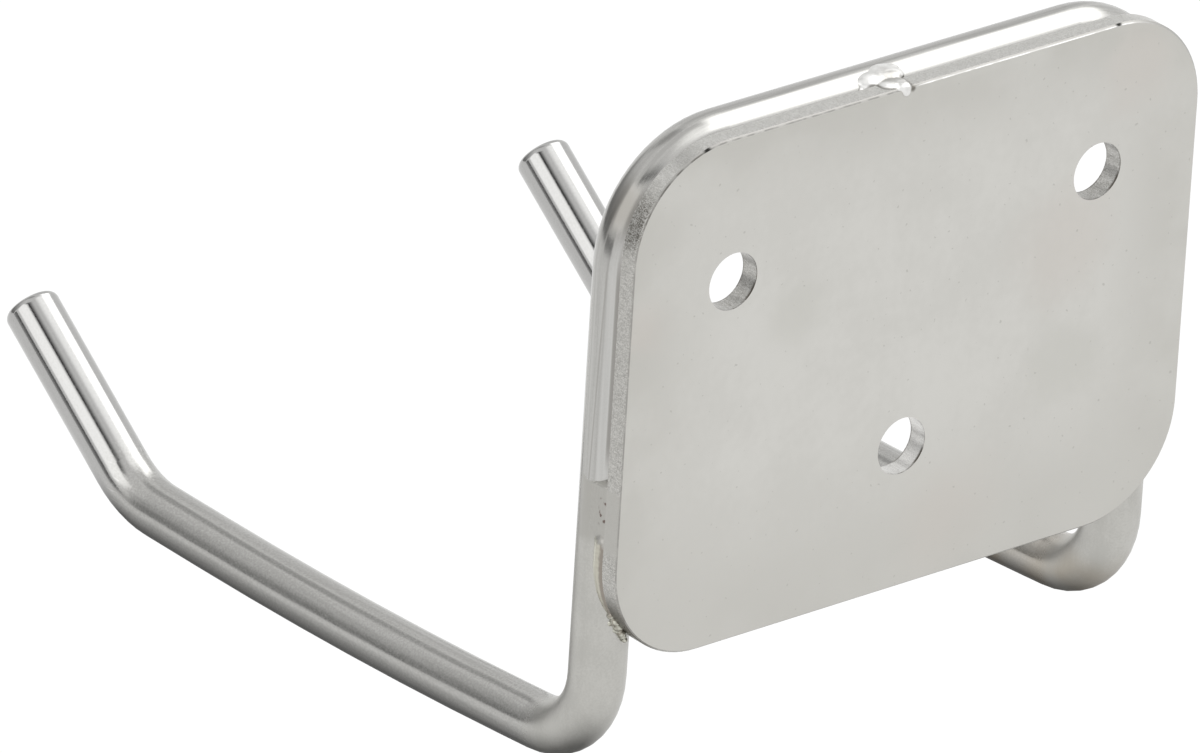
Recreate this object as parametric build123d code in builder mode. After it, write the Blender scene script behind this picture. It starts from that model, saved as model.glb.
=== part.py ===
from build123d import *
import os
from math import acos, cos, degrees, radians, sin, sqrt, tan

# Wall hanger for a hand blender: one bent round bar welded to the front of a flat screw-on plate.
# The wall face of the plate is the plane Y = 0 and faces +Y. The arms reach forward, towards -Y.
# The origin is the middle of the wall face, and +Z is up. Lengths are in millimetres, angles in degrees.

# Back plate
plate_width = 100.0
plate_height = 76.0
plate_thickness = 3.0
plate_corner_r = 15.5
plate_edge_break = 0.3

# Screw holes, placed from the edges of the plate
hole_d = 8.4
upper_hole_inset = 17.75
upper_hole_drop = 21.5
lower_hole_rise = 21.5

# Hook rod, with every bend radius on the rod's axis
rod_d = 8.0
rod_rise = 0.75
shoulder_r = 15.0
leg_drop = 14.5
foot_r = 12.0
arm_length = 99.0
arm_droop = 4.0
arm_bow = 4.5
elbow_r = 15.0
tip_length = 32.5
tip_angle = 36.5
tip_edge_r = 1.2

# Weld beads, each with its axis the same small distance from the rod and from the plate
weld_seat = 0.4
side_bead_r = 1.5
side_bead_straight = 9.5
side_lump_r = 1.8
side_lump_outset = 0.5
top_weld_length = 9.0
top_weld_r = 2.1
top_weld_shift = 4.0

rod_r = rod_d / 2
plate_top = plate_height / 2
plate_front = -plate_thickness

# The legs lie flush with the sides of the plate and touch its front face
leg_x = plate_width / 2 - rod_r
rod_y = plate_front - rod_r
shoulder_z = plate_top + rod_rise - rod_r
foot_z = -plate_top - leg_drop


def forward(start, length, angle):
    """Point at this length from start, going forward and up at this angle."""
    x, y, z = start
    return (x, y - length * cos(radians(angle)), z + length * sin(radians(angle)))


# Sheet with rounded corners and three punched holes
with BuildPart() as back_plate:
    with BuildSketch(Plane.XZ):
        RectangleRounded(plate_width, plate_height, plate_corner_r)
    extrude(amount=plate_thickness)
    rims = back_plate.faces().filter_by(Axis.Y).edges()
    chamfer(rims, plate_edge_break)
    upper_hole_x = plate_width / 2 - upper_hole_inset
    upper_hole_z = plate_top - upper_hole_drop
    lower_hole_z = lower_hole_rise - plate_top
    with BuildSketch(Plane.XZ):
        with Locations((upper_hole_x, upper_hole_z), (-upper_hole_x, upper_hole_z), (0, lower_hole_z)):
            Circle(hole_d / 2)
    extrude(amount=plate_thickness, mode=Mode.SUBTRACT)

# Bent bar from tip to tip. Each arm leaves its foot bend drooping and bows up on the way to the elbow
shoulder = (leg_x, rod_y, shoulder_z)
foot = (leg_x, rod_y, foot_z)
sag = forward(foot, arm_length / 2, -arm_droop)
elbow = forward(sag, arm_length / 2, arm_bow - arm_droop)
tip = forward(elbow, tip_length, tip_angle)
bow_r = arm_length / 3 / tan(radians(arm_bow / 2))
right_side = [tip, elbow, sag, foot, shoulder]
left_side = [(-x, y, z) for x, y, z in reversed(right_side)]
right_bends = [elbow_r, bow_r, foot_r, shoulder_r]

with BuildPart() as hook_rod:
    with BuildLine():
        rod_axis = FilletPolyline(*right_side, *left_side, radius=right_bends + right_bends[::-1])
    with BuildSketch(Plane(origin=rod_axis @ 0, z_dir=rod_axis % 0)):
        Circle(rod_r)
    sweep()
    fillet(hook_rod.faces().filter_by(GeomType.PLANE).edges(), tip_edge_r)

# A bead that rests in the crevice between rod and plate stands this far from the line where they touch
weld_y = plate_front - weld_seat
crevice = 2 * sqrt(rod_r * weld_seat)

# Short bead near mid width, between the rod's top run and the top edge of the plate
weld_z = shoulder_z + crevice
half_bead = top_weld_length / 2 - top_weld_r
bead_ends = [(top_weld_shift + half_bead, weld_y, weld_z), (top_weld_shift - half_bead, weld_y, weld_z)]

with BuildPart() as top_weld:
    with BuildLine():
        top_axis = Line(bead_ends)
    with BuildSketch(Plane(origin=top_axis @ 0, z_dir=top_axis % 0)):
        Circle(top_weld_r)
    sweep()
    with Locations(bead_ends):
        Sphere(top_weld_r)
    add(back_plate.part, mode=Mode.SUBTRACT)
    add(hook_rod.part, mode=Mode.SUBTRACT)

# Bead down the outside of a leg, round the corner of the plate to where its rim passes behind the rod
corner_x = plate_width / 2 - plate_corner_r
corner_z = plate_corner_r - plate_top
rod_crossing = degrees(acos(1 - rod_r / plate_corner_r))
lump_reach = plate_corner_r + side_lump_outset
bead_start = (leg_x + crevice, weld_y, corner_z + side_bead_straight)
bead_turn = (leg_x + crevice, weld_y, corner_z - plate_corner_r * sin(radians(rod_crossing / 2)))
bead_end = (
    corner_x + lump_reach * cos(radians(rod_crossing)),
    plate_front,
    corner_z - lump_reach * sin(radians(rod_crossing)),
)

with BuildPart() as left_weld:
    with BuildLine():
        bead_axis = Polyline(bead_start, bead_turn, bead_end)
    with BuildSketch(Plane(origin=bead_axis @ 0, z_dir=bead_axis % 0)):
        Circle(side_bead_r)
    sweep(transition=Transition.RIGHT)
    with Locations(bead_start):
        Sphere(side_bead_r)
    with Locations(bead_end):
        Sphere(side_lump_r)
    add(back_plate.part, mode=Mode.SUBTRACT)
    add(hook_rod.part, mode=Mode.SUBTRACT)

with BuildPart() as right_weld:
    add(mirror(left_weld.part, about=Plane.YZ, mode=Mode.PRIVATE))

back_plate.part.label = "back_plate"
hook_rod.part.label = "hook_rod"
top_weld.part.label = "top_weld"
left_weld.part.label = "left_weld"
right_weld.part.label = "right_weld"

os.makedirs("parts", exist_ok=True)
export_step(back_plate.part, "parts/back_plate.step")
export_step(hook_rod.part, "parts/hook_rod.step")
export_step(top_weld.part, "parts/top_weld.step")
export_step(left_weld.part, "parts/left_weld.step")
export_step(right_weld.part, "parts/right_weld.step")
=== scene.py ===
import math

import bpy
from mathutils import Matrix, Vector


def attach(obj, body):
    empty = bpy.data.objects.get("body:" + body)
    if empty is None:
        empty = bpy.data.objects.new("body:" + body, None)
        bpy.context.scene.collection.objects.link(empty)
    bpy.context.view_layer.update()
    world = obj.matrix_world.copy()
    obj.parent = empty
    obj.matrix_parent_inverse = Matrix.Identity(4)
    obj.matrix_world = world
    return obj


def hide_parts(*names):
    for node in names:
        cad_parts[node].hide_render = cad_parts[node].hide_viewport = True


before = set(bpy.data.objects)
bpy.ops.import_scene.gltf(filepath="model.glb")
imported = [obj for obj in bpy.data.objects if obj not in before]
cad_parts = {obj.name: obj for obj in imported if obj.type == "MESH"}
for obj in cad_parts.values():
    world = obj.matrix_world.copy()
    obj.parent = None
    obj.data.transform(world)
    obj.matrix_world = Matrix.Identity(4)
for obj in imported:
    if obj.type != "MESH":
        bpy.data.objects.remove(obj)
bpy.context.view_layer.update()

# Back plate: a flat stainless sheet with rounded corners and three punched screw holes.
# The faces keep the dull rolled finish of the sheet, with faint stains from heat and handling.
# The rim and the hole walls are sheared, so they are grainy, and the top edge carries a bright burr.
mm = 0.001
half_width = 50.0
half_height = 38.0
cloud_size = 15.0
freckle_size = 1.7
freckle_share = 0.28
speck_size = 0.8
speck_share = 0.5
stain_wander = 14.0
stain_share = 0.5
foot_shade_share = 0.7
torn_size = 0.15
torn_share = 0.65
shear_stroke = (0.25, 1.2, 0.25)
# The hole walls facing this way carry a crescent of painted shade at the wall face
crescent_side = (0.8, 0.0, 0.6)
dressed_share = 0.9
dressed_wander = 2.0
dash_size = 3.0
# Painted shade on the plate beside the drop of the top weld
drip_plate_shade_at = (2.25, 37.6)
drip_plate_shade_r = 0.65
drip_plate_shade_wander = 0.8
# Shares of painted shade: light on the corner by the shoulder, heavy by the side welds and the drip
corner_shade_share = 0.7
heavy_shade_share = 0.85
chip_soot = 0.45
sheet_roughness = (0.3, 0.5)
rim_gloss = 0.08
rim_relief = 0.08
sheet_dull = (0.595, 0.587, 0.556, 1)
sheet_pale = (0.635, 0.627, 0.596, 1)
# The fringe grey is also painted shade towards the plate's foot
fringe_and_foot_shade_grey = (0.55, 0.541, 0.508, 1)
brown_haze = (0.585, 0.553, 0.515, 1)
olive_haze = (0.555, 0.55, 0.512, 1)
speck_grey = (0.40, 0.39, 0.36, 1)
shear_dark = (0.31, 0.303, 0.284, 1)
shear_pale = (0.59, 0.582, 0.555, 1)
# Paler shear colours for the top rim, as painted light where it faces up
lit_top_shear_dark = (0.43, 0.424, 0.402, 1)
lit_top_shear_pale = (0.63, 0.623, 0.60, 1)
punch_dark = (0.32, 0.312, 0.29, 1)
punch_pale = (0.61, 0.603, 0.58, 1)
low_punch_dark = (0.58, 0.572, 0.55, 1)
low_punch_pale = (0.78, 0.772, 0.75, 1)
dressed_rim = (0.45, 0.442, 0.415, 1)
# The soot colour darkens chips, and is painted shade on the rim corners, the hole rims and by the drip
soot_and_shade = (0.13, 0.12, 0.102, 1)
edge_side = (0.34, 0.332, 0.313, 1)
edge_top = (0.24, 0.235, 0.222, 1)
worn_top = (0.42, 0.413, 0.392, 1)
worn_burr = (0.47, 0.464, 0.445, 1)
burr_bright = (0.75, 0.745, 0.735, 1)
nick_black = (0.03, 0.029, 0.027, 1)
stains = [
    (-28.0, 7.5, 13.0, brown_haze),
    (-28.5, -11.5, 9.0, olive_haze),
    (22.0, 7.5, 9.0, olive_haze),
    (-8.5, -28.0, 12.0, brown_haze),
    (-38.5, 31.5, 9.0, brown_haze),
    (48.0, 12.0, 7.0, brown_haze),
]
nicks = [(38.2, 37.3, 0.9), (-34.4, 38.0, 0.8)]


def node(tree, kind, inputs=None, **settings):
    """Adds a shader node, sets its properties, and sets or links its inputs."""
    made = tree.nodes.new("ShaderNode" + kind)
    for name, value in settings.items():
        setattr(made, name, value)
    for name, value in (inputs or {}).items():
        if isinstance(value, bpy.types.NodeSocket):
            tree.links.new(value, made.inputs[name])
        else:
            made.inputs[name].default_value = value
    return made


def split(tree, vector):
    """The X, Y and Z of a vector."""
    return list(node(tree, "SeparateXYZ", {0: vector}).outputs)


def reckon(tree, operation, first, second=0.0):
    """One arithmetic step on one or two values."""
    return node(tree, "Math", {0: first, 1: second}, operation=operation).outputs[0]


def times(tree, first, *others):
    """The product of values."""
    for other in others:
        first = reckon(tree, "MULTIPLY", first, other)
    return first


def plus(tree, first, *others):
    """The sum of values."""
    for other in others:
        first = reckon(tree, "ADD", first, other)
    return first


def apart(tree, value, middle=0.0):
    """How far a value is from a middle value."""
    return reckon(tree, "ABSOLUTE", reckon(tree, "SUBTRACT", value, middle))


def diagonal(tree, first, second):
    """The diagonal across two lengths."""
    squares = plus(tree, times(tree, first, first), times(tree, second, second))
    return reckon(tree, "SQRT", squares)


def aligned(tree, facing, direction):
    """1 where the surface faces this unit direction, and less as it turns away."""
    turned = node(tree, "VectorMath", {0: facing, 1: direction}, operation="DOT_PRODUCT")
    return turned.outputs["Value"]


def between(tree, amount, first, second):
    """A value between two values."""
    return node(tree, "Mix", {0: amount, 2: first, 3: second}).outputs[0]


def blend(tree, amount, first, second):
    """A colour between two colours."""
    inputs = {0: amount, 6: first, 7: second}
    return node(tree, "Mix", inputs, data_type="RGBA").outputs[2]


def rise(tree, value, start, end):
    """0 up to start, 1 from end on, and a smooth step between them."""
    limits = {"Value": value, "From Min": start, "From Max": end}
    return node(tree, "MapRange", limits, interpolation_type="SMOOTHSTEP").outputs[0]


def band(tree, value, start, full, fading, end):
    """0 up to start, 1 from full to fading, and 0 again from end on."""
    return times(tree, rise(tree, value, start, full), rise(tree, value, end, fading))


def grain(tree, place, size, detail=2.0):
    """Noise with spots of this size, or of these lengths along X, Y and Z, in the units of place."""
    lengths = size if isinstance(size, tuple) else (size, size, size)
    scale = [1 / length for length in lengths]
    laid = node(tree, "Mapping", {"Vector": place, "Scale": scale}).outputs[0]
    return node(tree, "TexNoise", {"Vector": laid, "Scale": 1.0, "Detail": detail}).outputs[0]


def waver(tree, noise, width):
    """Noise moved to lie evenly about 0, over this width."""
    return times(tree, plus(tree, noise, -0.5), width)


def spot(tree, first, second, middle, radius, ragged=0.0):
    """1 at a middle place, falling to 0 at this radius, with a ragged outline."""
    across = reckon(tree, "SUBTRACT", first, middle[0])
    along = reckon(tree, "SUBTRACT", second, middle[1])
    reach = plus(tree, diagonal(tree, across, along), ragged)
    return rise(tree, reach, radius, 0.2 * radius)


def blank_material(name):
    """A material without nodes, and its node tree."""
    material = bpy.data.materials.new(name)
    material.use_nodes = True
    material.node_tree.nodes.clear()
    return material, material.node_tree


def place_on_part(tree):
    """The place on the object, in millimetres."""
    coords = node(tree, "TexCoord").outputs["Object"]
    return node(tree, "Mapping", {"Vector": coords, "Scale": (1 / mm, 1 / mm, 1 / mm)}).outputs[0]


def finish_steel(tree, colour, roughness, relief, strength, depth):
    """Bare metal with this colour and roughness, and a relief this deep in millimetres."""
    bumped = node(tree, "Bump", {"Height": relief, "Strength": strength, "Distance": depth * mm})
    steel = node(tree, "BsdfPrincipled", {
        "Base Color": colour,
        "Metallic": 1.0,
        "Roughness": roughness,
        "Normal": bumped.outputs[0],
    })
    node(tree, "OutputMaterial", {"Surface": steel.outputs[0]})


def wear_material(node_name, material):
    """Puts a material in every slot of a node of the frame."""
    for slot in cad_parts[node_name].material_slots:
        slot.material = material


plate_steel, tree = blank_material("plate_steel")
place = place_on_part(tree)
facing = node(tree, "TexCoord").outputs["Normal"]
x, y, z = split(tree, place)
facing_x, facing_y, facing_z = split(tree, facing)
flat = apart(tree, facing_y)
on_face = rise(tree, flat, 0.85, 0.97)
on_rim = rise(tree, flat, 0.45, 0.2)
side = apart(tree, x)
to_side = reckon(tree, "DIVIDE", side, half_width)
to_top = reckon(tree, "DIVIDE", apart(tree, z), half_height)
to_edge = reckon(tree, "MAXIMUM", to_side, to_top)

# Rolled faces: cloudy, greyer towards the edges, painted shade towards the foot, hazy stains and small
# specks
clouds = grain(tree, place, cloud_size, 5.0)
freckle = grain(tree, place, freckle_size, 3.0)
tone = between(tree, freckle_share, clouds, freckle)
sheet = blend(tree, rise(tree, tone, 0.36, 0.64), sheet_dull, sheet_pale)
fringe = times(tree, rise(tree, to_edge, 0.6, 1.0), rise(tree, clouds, 0.3, 0.6))
sheet = blend(tree, fringe, sheet, fringe_and_foot_shade_grey)
foot_shade = rise(tree, z, -8.0, -34.0)
sheet = blend(tree, times(tree, foot_shade, foot_shade_share), sheet, fringe_and_foot_shade_grey)
ragged = waver(tree, clouds, stain_wander)
for stain_x, stain_z, radius, haze in stains:
    stain = spot(tree, x, z, (stain_x, stain_z), radius, ragged)
    sheet = blend(tree, times(tree, stain, stain_share), sheet, haze)
specks = rise(tree, grain(tree, place, speck_size, 1.0), 0.71, 0.77)
sheet = blend(tree, times(tree, specks, speck_share), sheet, speck_grey)

# Sheared rim: torn grain, with painted light where it faces up, and painted shade on the corner by the
# shoulder
shear = grain(tree, place, shear_stroke, 3.0)
torn = between(tree, torn_share, shear, grain(tree, place, torn_size, 1.0))
torn = rise(tree, torn, 0.33, 0.67)
rim = blend(tree, torn, shear_dark, shear_pale)
lit_top_rim = blend(tree, torn, lit_top_shear_dark, lit_top_shear_pale)
rim = blend(tree, rise(tree, facing_z, 0.55, 0.8), rim, lit_top_rim)
shaded_corner = times(tree, band(tree, facing_z, 0.08, 0.26, 0.5, 0.68), rise(tree, facing_x, 0.2, 0.5))
in_grain = rise(tree, torn, 0.75, 0.25)
rim = blend(tree, times(tree, shaded_corner, in_grain, corner_shade_share), rim, soot_and_shade)

# Punched hole walls: brightest in the lower hole, painted shade in broken lines at both ends and in one
# crescent
in_hole = times(tree, rise(tree, to_side, 0.85, 0.8), rise(tree, to_top, 0.75, 0.7))
punched = blend(tree, torn, punch_dark, punch_pale)
low_punched = blend(tree, torn, low_punch_dark, low_punch_pale)
punched = blend(tree, rise(tree, z, 2.0, -2.0), punched, low_punched)
whole = rise(tree, freckle, 0.4, 0.56)
hole_ends = reckon(tree, "MAXIMUM", rise(tree, y, -0.28, -0.12), rise(tree, y, -2.76, -2.9))
hole_rim_shade = times(tree, hole_ends, between(tree, whole, 0.22, 0.7))
crescent_shade = rise(tree, aligned(tree, facing, crescent_side), 0.9, 0.99)
crescent_shade = times(tree, crescent_shade, rise(tree, y, -0.5, -0.2))
punched = blend(tree, reckon(tree, "MAXIMUM", hole_rim_shade, crescent_shade), punched, soot_and_shade)
rim = blend(tree, in_hole, rim, punched)

# Rim beside the side welds: dressed along with the bead, and darkened below that with painted shade
dressed_level = plus(tree, z, times(tree, freckle, dressed_wander))
dressed_part = band(tree, dressed_level, -20.5, -18.5, -10.5, -9.5)
dressed_part = times(tree, dressed_part, rise(tree, side, 44.0, 46.0))
rim = blend(tree, times(tree, dressed_part, dressed_share), rim, dressed_rim)
weld_foot_shade = times(tree, rise(tree, z, -25.0, -31.0), rise(tree, side, 40.0, 45.0))
rim = blend(tree, times(tree, weld_foot_shade, heavy_shade_share), rim, soot_and_shade)

# Edges: worn along the top, with a dark line at the wall face, a burr on one half, chips and nicks
upward = rise(tree, facing_z, 0.1, 0.6)
by_burr = times(tree, upward, rise(tree, x, 3.0, -1.0))
crest_line = blend(tree, upward, edge_side, edge_top)
crest_line = blend(tree, by_burr, crest_line, worn_burr)
dashes = rise(tree, grain(tree, place, dash_size), 0.42, 0.55)
burr = times(tree, by_burr, rise(tree, y, -0.12, -0.06), rise(tree, x, -38.0, -36.5))
crest_line = blend(tree, times(tree, burr, between(tree, dashes, 0.3, 1.0)), crest_line, burr_bright)
upper_corner = rise(tree, times(tree, facing_x, facing_z), 0.08, 0.18)
chips = times(tree, upper_corner, rise(tree, freckle, 0.42, 0.56))
crest_line = blend(tree, times(tree, chips, chip_soot), crest_line, soot_and_shade)
crest = rise(tree, y, -0.2, -0.12)
crest = times(tree, crest, reckon(tree, "MAXIMUM", between(tree, whole, 0.4, 1.0), by_burr))
edge_line = blend(tree, crest, blend(tree, upward, rim, worn_top), crest_line)
for nick_x, nick_z, radius in nicks:
    nick = spot(tree, x, z, (nick_x, nick_z), radius)
    edge_line = blend(tree, nick, edge_line, nick_black)

# Faces, edges and rim together, with painted shade where the drop of the top weld lies on the plate
colour = blend(tree, on_rim, edge_line, rim)
colour = blend(tree, on_face, colour, sheet)
drip_plate_shade = spot(tree, x, z, drip_plate_shade_at, drip_plate_shade_r, waver(tree, freckle, drip_plate_shade_wander))
colour = blend(tree, times(tree, drip_plate_shade, heavy_shade_share), colour, soot_and_shade)
roughness = between(tree, tone, *sheet_roughness)
roughness = reckon(tree, "SUBTRACT", roughness, times(tree, on_rim, rim_gloss))
relief = plus(tree, freckle, times(tree, torn, on_rim, rim_relief))
finish_steel(tree, colour, roughness, relief, strength=0.2, depth=0.04)
wear_material("back_plate", plate_steel)

# Hook rod: one round stainless bar, bent at the shoulders, the feet and the elbows.
# The bar is drawn, so fine lines run along it. The arms are satin, and the tips polished with sawn ends.
# The legs are duller where they were cleaned after welding, and one foot keeps a brown heat tint.
satin_y = -103.0
polished_y = -111.0
leg_front_y = -13.0
cleaned_z = -11.0
tip_angle = math.radians(36.5)
shoulder_x = 31.0
shoulder_z = 19.75
shoulder_r = 15.0
wander_size = 5.0
wander_width = 6.0
arm_stroke = (0.6, 30.0, 0.6)
leg_stroke = (0.6, 0.6, 24.0)
dust_size = 0.3
dust_share = 0.6
frame_clean = 0.7
blotch_size = (4.0, 4.0, 7.0)
blotch_dust = 0.4
rubbed_share = 0.45
seam_y = -6.3
seam_lean = 0.03
seam_share = 0.55
mark_share = 0.95
saw_stroke = (7.0, 0.22, 0.22)
scuff_stroke = (0.5, 5.0, 0.5)
scuff_strength = 2.4
heat_size = 9.0
heat_share = 0.85
drawn_roughness = (0.17, 0.23)
polish_gloss = 0.09
cleaned_roughness = 0.2
sawn_roughness = 0.22
satin_dark = (0.405, 0.401, 0.384, 1)
satin_pale = (0.49, 0.485, 0.467, 1)
polish_dark = (0.425, 0.422, 0.413, 1)
polish_pale = (0.455, 0.453, 0.445, 1)
ground_dark = (0.475, 0.469, 0.442, 1)
ground_pale = (0.53, 0.523, 0.495, 1)
dressed_grey = (0.44, 0.432, 0.405, 1)
shoulder_mark = (0.25, 0.24, 0.222, 1)
scuff_pale = (0.60, 0.595, 0.58, 1)
sawn_dark = (0.36, 0.355, 0.34, 1)
sawn_pale = (0.56, 0.553, 0.535, 1)
# Painted shade in the crevice by the plate, also the colour of the thin seam
crevice_shade_and_seam_grey = (0.31, 0.302, 0.283, 1)
heat_brown = (0.40, 0.35, 0.278, 1)

# Parts of the bar: polished tips, the frame of legs and top run, and the cleaned foot of each leg
rod_steel, tree = blank_material("rod_steel")
place = place_on_part(tree)
facing = node(tree, "TexCoord").outputs["Normal"]
x, y, z = split(tree, place)
side = apart(tree, x)
wander = waver(tree, grain(tree, place, wander_size, 3.0), wander_width)
level = plus(tree, z, wander)
on_tip = rise(tree, plus(tree, y, wander), satin_y, polished_y)
on_frame = rise(tree, y, leg_front_y - 6.0, leg_front_y)
weld_side = rise(tree, y, -9.0, -7.2)
brushed = rise(tree, level, cleaned_z + 2.0, cleaned_z - 14.0)
masked = rise(tree, level, cleaned_z + 0.3, cleaned_z - 0.3)
cleaned = times(tree, on_frame, between(tree, weld_side, brushed, masked))

# Drawn lines along the arms and the tips, and along the frame as if its shoulders were bent straight
arm_lines = grain(tree, place, arm_stroke, 3.0)
tip_turn = {"Vector": place, "Angle": tip_angle}
tip_place = node(tree, "VectorRotate", tip_turn, rotation_type="X_AXIS").outputs[0]
tip_lines = grain(tree, tip_place, arm_stroke, 3.0)
past_x = reckon(tree, "MAXIMUM", reckon(tree, "SUBTRACT", side, shoulder_x), 0.0)
past_z = reckon(tree, "MAXIMUM", reckon(tree, "SUBTRACT", z, shoulder_z), 0.0)
along_leg = reckon(tree, "MINIMUM", z, shoulder_z)
along_bend = times(tree, reckon(tree, "ARCTAN2", past_z, past_x), shoulder_r)
along_top = reckon(tree, "MAXIMUM", reckon(tree, "SUBTRACT", shoulder_x, side), 0.0)
straight_x = plus(tree, diagonal(tree, past_x, past_z), shoulder_x)
straight_z = plus(tree, along_leg, along_bend, along_top)
straight_place = node(tree, "CombineXYZ", {0: straight_x, 1: y, 2: straight_z}).outputs[0]
frame_lines = grain(tree, straight_place, leg_stroke, 3.0)
drawn = between(tree, on_frame, between(tree, on_tip, arm_lines, tip_lines), frame_lines)

# Satin and polish, both with fine dust in the lines, and less of it on the frame
dust = grain(tree, place, dust_size)
dusty_lines = between(tree, dust_share, drawn, dust)
dusty_lines = between(tree, times(tree, on_frame, frame_clean), dusty_lines, drawn)
lines = rise(tree, dusty_lines, 0.35, 0.65)
satin = blend(tree, lines, satin_dark, satin_pale)
polished = blend(tree, lines, polish_dark, polish_pale)
colour = blend(tree, on_tip, satin, polished)

# Cleaned legs: ground to a dusty grey, and dressed along with the upper part of the bead
blotch = between(tree, blotch_dust, grain(tree, place, blotch_size, 4.0), dust)
ground = blend(tree, rise(tree, blotch, 0.38, 0.62), ground_dark, ground_pale)
dressed_part = times(tree, weld_side, rise(tree, level, -20.5, -18.0))
ground = blend(tree, dressed_part, ground, dressed_grey)
colour = blend(tree, cleaned, colour, ground)

# Upper legs: a rubbed stripe, painted shade in the crevice by the plate, a thin seam, a dark mark at one
# shoulder
above_cleaned = rise(tree, level, cleaned_z - 0.3, cleaned_z + 0.3)
upper_leg = times(tree, rise(tree, z, 26.0, 18.0), above_cleaned, on_frame)
rubbed = times(tree, rise(tree, y, -5.7, -5.3), upper_leg)
colour = blend(tree, times(tree, rubbed, rubbed_share), colour, scuff_pale)
crevice_shade = times(tree, rise(tree, y, -4.6, -4.35), upper_leg, rise(tree, z, -10.0, -5.0))
colour = blend(tree, crevice_shade, colour, crevice_shade_and_seam_grey)
from_seam = apart(tree, y, plus(tree, times(tree, z, seam_lean), seam_y))
seam = times(tree, rise(tree, from_seam, 0.2, 0.05), upper_leg)
colour = blend(tree, times(tree, seam, seam_share), colour, crevice_shade_and_seam_grey)
mark = times(tree, rise(tree, x, 43.0, 47.0), rise(tree, y, -9.5, -6.5))
mark = times(tree, mark, band(tree, z, 23.0, 28.0, 30.5, 34.5))
colour = blend(tree, times(tree, mark, mark_share), colour, shoulder_mark)

# Sawn ends of the tips, scuffs where the polish starts at the elbows, and the heat tint on one foot
along_tip = (0.0, -math.cos(tip_angle), math.sin(tip_angle))
on_end = times(tree, rise(tree, aligned(tree, facing, along_tip), 0.9, 0.98), on_tip)
saw_lines = rise(tree, grain(tree, place, saw_stroke), 0.35, 0.65)
colour = blend(tree, on_end, colour, blend(tree, saw_lines, sawn_dark, sawn_pale))
scuffs = rise(tree, grain(tree, place, scuff_stroke), 0.62, 0.7)
at_elbow = times(tree, on_tip, reckon(tree, "SUBTRACT", 1.0, on_tip))
colour = blend(tree, times(tree, scuffs, at_elbow, scuff_strength), colour, scuff_pale)
heat = times(tree, rise(tree, x, -10.0, -40.0), rise(tree, z, -45.0, -53.0), rise(tree, y, -52.0, -28.0))
patchy = rise(tree, grain(tree, place, heat_size, 1.0), 0.3, 0.6)
colour = blend(tree, times(tree, heat, patchy, heat_share), colour, heat_brown)

roughness = between(tree, lines, *drawn_roughness)
roughness = reckon(tree, "SUBTRACT", roughness, times(tree, on_tip, polish_gloss))
roughness = plus(tree, roughness, times(tree, cleaned, cleaned_roughness))
roughness = plus(tree, roughness, times(tree, on_end, sawn_roughness))
finish_steel(tree, colour, roughness, dusty_lines, strength=0.08, depth=0.02)
wear_material("hook_rod", rod_steel)

# Top weld: a short puddle of stainless filler between the rod's top run and the plate's top edge.
# It was laid by hand and left as it set, smooth and bright. One drop ran back over the edge
# and down the wall face.
tint_size = 1.5
frost_size = 0.4
filler_roughness = (0.24, 0.44)
# Painted shade on the filler: a grey middle, a dark spot at the drop's side and a line along the foot
middle_shade_at = (3.8, -3.0)
middle_shade_r = 2.6
middle_shade_wander = 2.0
drip_edge_shade_at = (2.3, -0.2)
drip_edge_shade_r = 0.9
foot_shadow_share = 0.8
filler_pale = (0.74, 0.735, 0.715, 1)
filler_bright = (0.84, 0.835, 0.82, 1)
filler_shade_grey = (0.44, 0.43, 0.408, 1)
filler_shade_dark = (0.18, 0.17, 0.15, 1)


def drop(centre, radii, turn=0.0):
    """A drop of filler: a ball squeezed to these radii and turned about Z, in millimetres and degrees."""
    bpy.ops.object.select_all(action="DESELECT")
    middle = Vector(centre) * mm
    bpy.ops.mesh.primitive_uv_sphere_add(segments=28, ring_count=16, radius=mm, location=middle)
    bpy.ops.object.mode_set(mode="EDIT")
    bpy.ops.mesh.select_all(action="SELECT")
    bpy.ops.transform.resize(value=radii, center_override=middle)
    bpy.ops.transform.rotate(value=-math.radians(turn), orient_axis="Z", center_override=middle)
    bpy.ops.object.mode_set(mode="OBJECT")
    bpy.ops.object.transform_apply(location=True, rotation=True, scale=True)
    return bpy.context.object


def melted(drops, name, skin_size, easing, wave_length, wave_height):
    """Runs drops of filler together into one skin, eases it and sets it in small waves."""
    bpy.ops.object.select_all(action="DESELECT")
    for one in drops:
        one.select_set(True)
    bpy.context.view_layer.objects.active = drops[0]
    bpy.ops.object.join()
    bead = bpy.context.object
    bead.name = name
    bead.data.name = name
    skin = bead.modifiers.new("skin", "REMESH")
    skin.mode = "VOXEL"
    skin.voxel_size = skin_size * mm
    bpy.ops.object.modifier_apply(modifier="skin")
    ease = bead.modifiers.new("ease", "SMOOTH")
    ease.factor = 0.5
    ease.iterations = easing
    bpy.ops.object.modifier_apply(modifier="ease")
    ripple = bpy.data.textures.new(name, "CLOUDS")
    ripple.noise_scale = wave_length * mm
    waves = bead.modifiers.new("waves", "DISPLACE")
    waves.texture = ripple
    waves.texture_coords = "LOCAL"
    waves.strength = wave_height * mm
    bpy.ops.object.modifier_apply(modifier="waves")
    bpy.ops.object.shade_smooth()
    return bead


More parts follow.
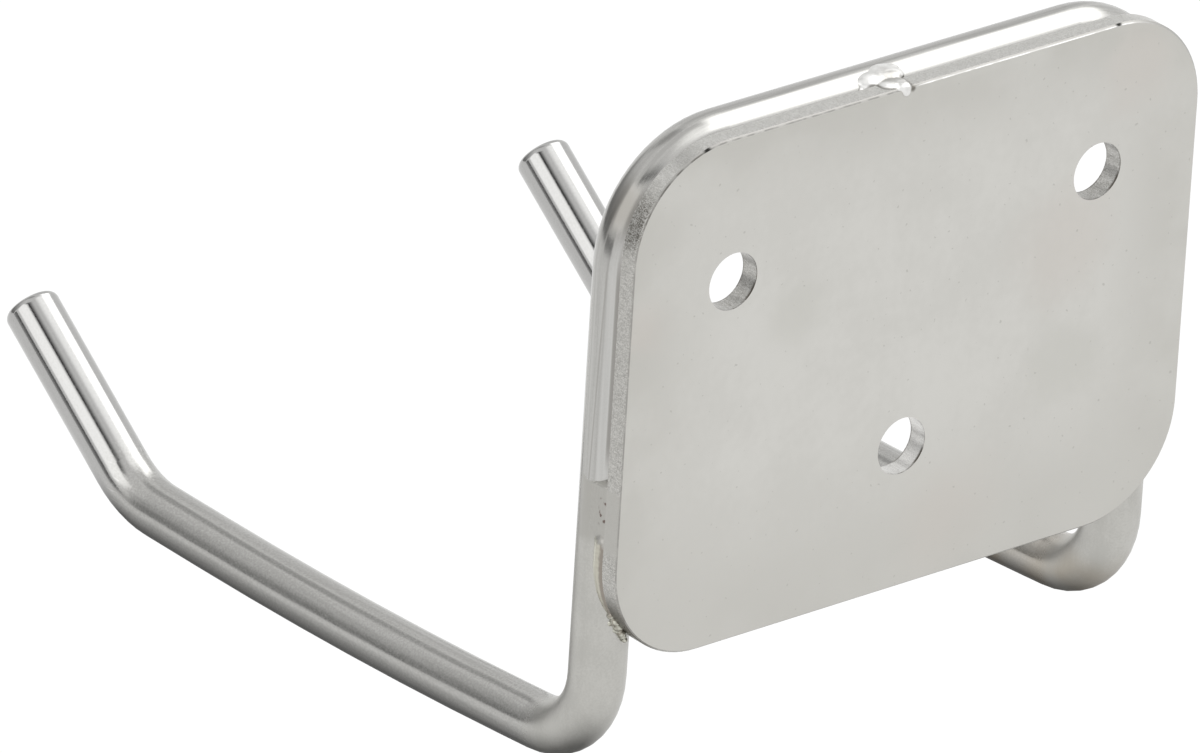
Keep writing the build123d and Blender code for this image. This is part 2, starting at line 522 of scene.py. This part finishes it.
top_drops = [
    drop((5.6, -4.6, 37.75), (2.7, 2.2, 1.0), -6),
    drop((3.4, -4.9, 37.85), (3.0, 2.4, 1.05), -8),
    drop((3.2, -5.9, 38.2), (2.9, 1.7, 0.62), -8),
    drop((7.3, -3.7, 37.3), (1.3, 0.95, 0.75), -20),
    drop((4.3, -2.0, 37.75), (2.6, 2.0, 0.7), -16),
    drop((3.4, -0.6, 37.8), (1.25, 0.95, 0.7)),
    drop((3.4, -0.05, 37.45), (0.75, 0.42, 0.85)),
]
top_bead = melted(
    top_drops, "top_weld_bead", skin_size=0.13, easing=8, wave_length=1.7, wave_height=0.18
)

# Bright filler, painted shade in the middle and where the drop leaves the edge, a painted shadow at the
# foot
bright_weld, tree = blank_material("bright_weld")
place = place_on_part(tree)
x, y, z = split(tree, place)
tint = grain(tree, place, tint_size)
frost = grain(tree, place, frost_size)
filler = blend(tree, rise(tree, tint, 0.35, 0.65), filler_pale, filler_bright)
shaded_middle = spot(tree, x, y, middle_shade_at, middle_shade_r, waver(tree, tint, middle_shade_wander))
filler = blend(tree, shaded_middle, filler, filler_shade_grey)
filler = blend(tree, spot(tree, x, y, drip_edge_shade_at, drip_edge_shade_r), filler, filler_shade_dark)
foot_shadow_line = times(tree, rise(tree, z, 38.22, 38.06), band(tree, y, -3.4, -3.0, -0.5, -0.1))
filler = blend(tree, times(tree, foot_shadow_line, foot_shadow_share), filler, filler_shade_dark)
finish_steel(tree, filler, between(tree, frost, *filler_roughness), tint, strength=0.25, depth=0.08)
top_bead.data.materials.append(bright_weld)
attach(top_bead, "root")
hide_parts("top_weld")

# Side welds: a bead of stainless filler down each leg, in the groove between the rod and the plate.
# The upper part was dressed flush. Below it the ripples and a straw heat tint are left,
# and the bead ends in a crumbly lump where the plate's corner passes behind the rod.
dressed_top = -11.0
dressed_end = -19.6
dressed_r = 1.43
corner_start = -23.5
ripple_length = 0.7
crest_r = 1.6
dip_r = 1.55
straw_size = 0.9
straw_wander = 2.5
depth_wander = 0.2
ash_size = 0.4
pit_size = (0.8, 0.8, 1.1)
bead_roughness = (0.3, 0.5)
flush_grey = (0.44, 0.432, 0.405, 1)
pale_straw = (0.70, 0.695, 0.61, 1)
straw = (0.53, 0.512, 0.44, 1)
weld_brown = (0.30, 0.272, 0.238, 1)
crumb_pale = (0.53, 0.528, 0.462, 1)
crumb_dark = (0.33, 0.308, 0.262, 1)
pit_brown = (0.17, 0.135, 0.12, 1)


def rippled_bead(rings, name):
    """A bead drawn ring by ring, each with its middle and its radius, in millimetres."""
    bpy.ops.object.select_all(action="DESELECT")
    start, radius = rings[0]
    here = Vector(start) * mm
    bpy.ops.mesh.primitive_circle_add(vertices=16, radius=radius * mm, fill_type="NGON", location=here)
    bead = bpy.context.object
    bead.name = name
    bpy.ops.object.mode_set(mode="EDIT")
    bpy.ops.mesh.select_all(action="SELECT")
    for middle, next_radius in rings[1:]:
        step = Vector(middle) * mm - here
        bpy.ops.mesh.extrude_region_move(TRANSFORM_OT_translate={"value": step})
        here = here + step
        bpy.ops.transform.resize(value=[next_radius / radius] * 3, center_override=here)
        radius = next_radius
    bpy.ops.mesh.select_all(action="SELECT")
    bpy.ops.mesh.normals_make_consistent(inside=False)
    bpy.ops.object.mode_set(mode="OBJECT")
    bpy.ops.object.transform_apply(location=True, rotation=True, scale=True)
    return bead


left_drops = []
for bead_y in (-6.4, -5.8, -5.2, -4.6, -4.0, -3.6):
    dressed_rings = [
        ((48.2, bead_y, dressed_top + 0.5), 0.8),
        ((48.5, bead_y, dressed_top), dressed_r),
        ((48.5, bead_y, dressed_end + 2.4), dressed_r),
        ((48.2, 0.6 * bead_y - 1.55, dressed_end), 1.3),
        ((48.2, -3.8, dressed_end - 1.2), 1.1),
    ]
    left_drops.append(rippled_bead(dressed_rings, "left_weld_dressed"))
groove_rings = [((48.4, -3.8, dressed_end + 1.5), 1.3)]
ripple_z = dressed_end
while ripple_z > corner_start:
    groove_rings.append(((48.6, -3.9, ripple_z), crest_r))
    groove_rings.append(((48.6, -3.9, ripple_z - 0.6 * ripple_length), dip_r))
    ripple_z -= ripple_length
groove_rings += [
    ((48.4, -3.85, -25.0), 1.55),
    ((48.0, -3.8, -27.0), 1.48),
    ((47.5, -3.7, -28.6), 1.38),
    ((46.95, -3.6, -30.0), 1.24),
    ((46.4, -3.5, -31.2), 1.05),
]
left_drops.append(rippled_bead(groove_rings, "left_weld_groove"))
left_drops += [
    drop((47.5, -3.2, -30.7), (0.6, 0.65, 0.55)),
    drop((47.0, -2.8, -31.6), (0.7, 0.75, 0.6)),
    drop((47.3, -3.6, -32.0), (0.55, 0.6, 0.5)),
    drop((46.4, -2.8, -32.5), (0.75, 0.8, 0.6)),
    drop((46.6, -3.4, -33.1), (0.55, 0.6, 0.5)),
    drop((46.0, -2.6, -33.5), (0.6, 0.65, 0.55)),
    drop((45.6, -2.9, -34.1), (0.6, 0.7, 0.5)),
    drop((45.2, -2.8, -34.8), (0.45, 0.5, 0.4)),
]
left_bead = melted(
    left_drops, "left_weld_bead", skin_size=0.12, easing=3, wave_length=0.45, wave_height=0.06
)

# Straw tint that browns towards the plate, ashy crumbs at the foot, and a few pits in the flush part
straw_weld, tree = blank_material("straw_weld")
place = place_on_part(tree)
y, z = split(tree, place)[1:]
ash = grain(tree, place, ash_size, 3.0)
ragged = waver(tree, grain(tree, place, straw_size), straw_wander)
bead_depth = plus(tree, y, times(tree, ragged, depth_wander))
bead_tint = blend(tree, rise(tree, bead_depth, -4.5, -4.0), pale_straw, straw)
bead_tint = blend(tree, rise(tree, bead_depth, -3.6, -3.2), bead_tint, weld_brown)
crust = blend(tree, rise(tree, ash, 0.42, 0.62), crumb_pale, crumb_dark)
bead_tint = blend(tree, rise(tree, z, -30.0, -31.0), bead_tint, crust)
pits = rise(tree, grain(tree, place, pit_size), 0.55, 0.63)
pits = times(tree, pits, band(tree, z, -17.0, -16.0, -13.2, -12.4), rise(tree, y, -4.5, -4.0))
flush_part = blend(tree, pits, flush_grey, pit_brown)
as_welded = rise(tree, plus(tree, z, ragged), dressed_end + 0.6, dressed_end - 0.4)
colour = blend(tree, as_welded, flush_part, bead_tint)
finish_steel(tree, colour, between(tree, ash, *bead_roughness), ash, strength=0.25, depth=0.06)
left_bead.data.materials.append(straw_weld)

# The other leg's bead is the same one mirrored
bpy.ops.object.select_all(action="DESELECT")
left_bead.select_set(True)
bpy.context.view_layer.objects.active = left_bead
bpy.ops.object.duplicate()
right_bead = bpy.context.object
right_bead.name = "right_weld_bead"
right_bead.data.name = "right_weld_bead"
bpy.ops.object.mode_set(mode="EDIT")
bpy.ops.mesh.select_all(action="SELECT")
bpy.ops.transform.resize(value=(-1, 1, 1), center_override=(0, 0, 0))
bpy.ops.mesh.normals_make_consistent(inside=False)
bpy.ops.object.mode_set(mode="OBJECT")
for bead, weld in ((left_bead, "left_weld"), (right_bead, "right_weld")):
    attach(bead, "root")
    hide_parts(weld)

# Floor: a wide pale table top below the hanger, white to the eye and in the metal.
# It keeps the hanger's soft shadow.
floor_z = -0.30
floor_size = 14
floor_glow = 1.05
glow_share = 0.85
white = (1, 1, 1, 1)
chalk_white = (0.9, 0.9, 0.9, 1)


def seen_rays(tree):
    """1 for rays that show a thing to the eye or in the metal, and 0 for rays that only light it."""
    path = node(tree, "LightPath").outputs
    seen = reckon(tree, "MAXIMUM", path["Is Camera Ray"], path["Is Glossy Ray"])
    return reckon(tree, "MAXIMUM", seen, path["Is Transmission Ray"])


bpy.ops.object.select_all(action="DESELECT")
bpy.ops.mesh.primitive_plane_add(size=floor_size, location=(0, 0, floor_z))
floor = bpy.context.object
floor.name = "studio_floor"
bpy.ops.object.transform_apply(location=True, rotation=True, scale=True)
floor_white, tree = blank_material("floor_white")
chalk = node(tree, "BsdfDiffuse", {"Color": chalk_white})
glow = node(tree, "Emission", {"Color": white, "Strength": floor_glow})
glowing = times(tree, seen_rays(tree), glow_share)
mixed = node(tree, "MixShader", {0: glowing, 1: chalk.outputs[0], 2: glow.outputs[0]})
node(tree, "OutputMaterial", {"Surface": mixed.outputs[0]})
floor.data.materials.append(floor_white)

# Shadow card: a clear sheet just under the arms that only the metal sees.
# It darkens along both arms, so their undersides show the dark line of the table below them.
shadow_size = 0.2
shadow_y = -0.062
shadow_z = -0.0602
arm_x = 0.046
foot_y = -0.013
foot_skew = 0.06
elbow_y = -0.108
shade_edge = 0.021
shade_core = 0.003
shade_power = 1.8
shade_depth = 0.84
shade_black = (0, 0, 0, 1)

bpy.ops.object.select_all(action="DESELECT")
bpy.ops.mesh.primitive_plane_add(size=shadow_size, location=(0, shadow_y, shadow_z))
shadow_card = bpy.context.object
shadow_card.name = "shadow_card"
bpy.ops.object.transform_apply(location=True, rotation=True, scale=True)
shadow_card.visible_camera = False
shadow_card.visible_diffuse = False
shadow_card.visible_shadow = False
shade, tree = blank_material("shadow_card")
across, ahead = split(tree, node(tree, "TexCoord").outputs["Object"])[:2]
beside_arm = apart(tree, apart(tree, across), arm_x)
past_foot = reckon(tree, "SUBTRACT", ahead, plus(tree, times(tree, across, foot_skew), foot_y))
past_elbow = reckon(tree, "SUBTRACT", elbow_y, ahead)
past_end = reckon(tree, "MAXIMUM", reckon(tree, "MAXIMUM", past_foot, past_elbow), 0.0)
from_arm = diagonal(tree, beside_arm, past_end)
limits = {"Value": from_arm, "From Min": shade_edge, "From Max": shade_core}
close = node(tree, "MapRange", limits).outputs[0]
dark = times(tree, reckon(tree, "POWER", close, shade_power), shade_depth)
clear = node(tree, "BsdfTransparent")
black = node(tree, "Emission", {"Color": shade_black, "Strength": 0.0})
mixed = node(tree, "MixShader", {0: dark, 1: clear.outputs[0], 2: black.outputs[0]})
node(tree, "OutputMaterial", {"Surface": mixed.outputs[0]})
shadow_card.data.materials.append(shade)

# Studio: a white surround and three soft lamps, a large one high on one side, a lower one on the other
# and a weak one overhead. Grey cards stand round the object, out of the picture, and draw the dark lines
# in the polished bar.
surround_light = (0.8, 1.0)
lamp_distance = 1.5

world = bpy.data.worlds.new("studio")
bpy.context.scene.world = world
world.use_nodes = True
tree = world.node_tree
tree.nodes.clear()
light_level = between(tree, seen_rays(tree), *surround_light)
surround = node(tree, "Background", {"Color": white, "Strength": light_level})
node(tree, "OutputWorld", {"Surface": surround.outputs[0]})


def facing_object(azimuth, elevation, distance):
    """Placement with -Z towards the object and Y up, with the azimuth from +X towards +Y, in degrees."""
    around = math.radians(azimuth)
    above = math.radians(elevation)
    level = math.cos(above)
    out = Vector((math.cos(around) * level, math.sin(around) * level, math.sin(above)))
    turn = (-out).to_track_quat("-Z", "Y").to_matrix().to_4x4()
    return Matrix.Translation(out * distance) @ turn


def soft_lamp(name, azimuth, elevation, width, height, radiance, fade):
    """A rectangular lamp that looks this bright in the metal and fades towards its rim."""
    lamp = bpy.data.lights.new(name, "AREA")
    lamp.shape = "RECTANGLE"
    lamp.size = width
    lamp.size_y = height
    lamp.energy = radiance * math.pi * width * height
    lamp.use_nodes = True
    tree = lamp.node_tree
    tree.nodes.clear()
    strength = 1.0
    for way in split(tree, node(tree, "NewGeometry").outputs["Parametric"])[:2]:
        from_middle = apart(tree, way, 0.5)
        strength = times(tree, rise(tree, from_middle, 0.5, 0.5 - fade), strength)
    glow = node(tree, "Emission", {"Color": white, "Strength": strength})
    node(tree, "OutputLight", {"Surface": glow.outputs[0]})
    holder = bpy.data.objects.new(name, lamp)
    holder.matrix_world = facing_object(azimuth, elevation, lamp_distance)
    holder.visible_camera = False
    bpy.context.scene.collection.objects.link(holder)


soft_lamp("key_lamp", azimuth=180, elevation=50, width=1.75, height=1.2, radiance=1.9, fade=0.2)
soft_lamp("side_lamp", azimuth=-3, elevation=26, width=1.45, height=1.02, radiance=0.85, fade=0.12)
soft_lamp("top_lamp", azimuth=140, elevation=76, width=1.3, height=1.3, radiance=0.8, fade=0.4)


def grey_card(name, azimuth, elevation, distance, width, height, foot, head):
    """A card that only the metal sees, from one grey at its foot to another at its head."""
    bpy.ops.object.select_all(action="DESELECT")
    bpy.ops.mesh.primitive_plane_add(size=1)
    card = bpy.context.object
    card.name = name
    placed = facing_object(azimuth, elevation, distance)
    card.matrix_world = placed @ Matrix.Diagonal((width, height, 1, 1))
    card.visible_camera = False
    paint, tree = blank_material(name)
    up_card = split(tree, node(tree, "TexCoord").outputs["Object"])[1]
    limits = {"Value": up_card, "From Min": -0.5, "From Max": 0.5, "To Min": foot, "To Max": head}
    grey = node(tree, "MapRange", limits, interpolation_type="SMOOTHSTEP").outputs[0]
    glow = node(tree, "Emission", {"Color": grey, "Strength": 1.0})
    node(tree, "OutputMaterial", {"Surface": glow.outputs[0]})
    card.data.materials.append(paint)


grey_card("upper_gap_card", azimuth=20, elevation=56.5, distance=1.6,
          width=1.2, height=0.536, foot=0.0, head=1.0)
grey_card("table_edge_card", azimuth=-18, elevation=-10.2, distance=1.6,
          width=1.0, height=0.663, foot=0.92, head=0.13)
grey_card("backdrop_card", azimuth=-66, elevation=20, distance=1.6,
          width=1.75, height=1.6, foot=0.27, head=1.0)
grey_card("corner_card", azimuth=-92, elevation=45, distance=1.5,
          width=0.42, height=0.9, foot=0.56, head=0.66)
grey_card("far_wall_card", azimuth=-125, elevation=18, distance=1.6,
          width=0.75, height=1.3, foot=0.88, head=0.86)

# Camera: behind the wall face, above it and to one side, far off with a long lens.
camera_azimuth = math.radians(40.97)
camera_elevation = math.radians(25.482)
camera_roll = math.radians(-3.53)
camera_target = Vector((54.843, 0.0, 8.252)) * mm
camera_distance = 2.8
sensor_width = 36.0
photo_width = 1200
focal_pixels = 20950

back = Vector((
    math.sin(camera_azimuth) * math.cos(camera_elevation),
    math.cos(camera_azimuth) * math.cos(camera_elevation),
    math.sin(camera_elevation),
))
level_right = (-back).cross(Vector((0, 0, 1))).normalized()
level_down = (-back).cross(level_right)
right = level_right * math.cos(camera_roll) + level_down * math.sin(camera_roll)
down = level_down * math.cos(camera_roll) - level_right * math.sin(camera_roll)
lens = bpy.data.cameras.new("photo_camera")
lens.sensor_fit = "HORIZONTAL"
lens.sensor_width = sensor_width
lens.lens = focal_pixels / photo_width * sensor_width
lens.clip_start = 0.05
lens.clip_end = 60
camera = bpy.data.objects.new("photo_camera", lens)
axes = Matrix((right, -down, back)).transposed()
camera.matrix_world = Matrix.Translation(camera_target + back * camera_distance) @ axes.to_4x4()
bpy.context.scene.collection.objects.link(camera)
bpy.context.scene.camera = camera
bpy.context.scene.view_settings.view_transform = "Standard"
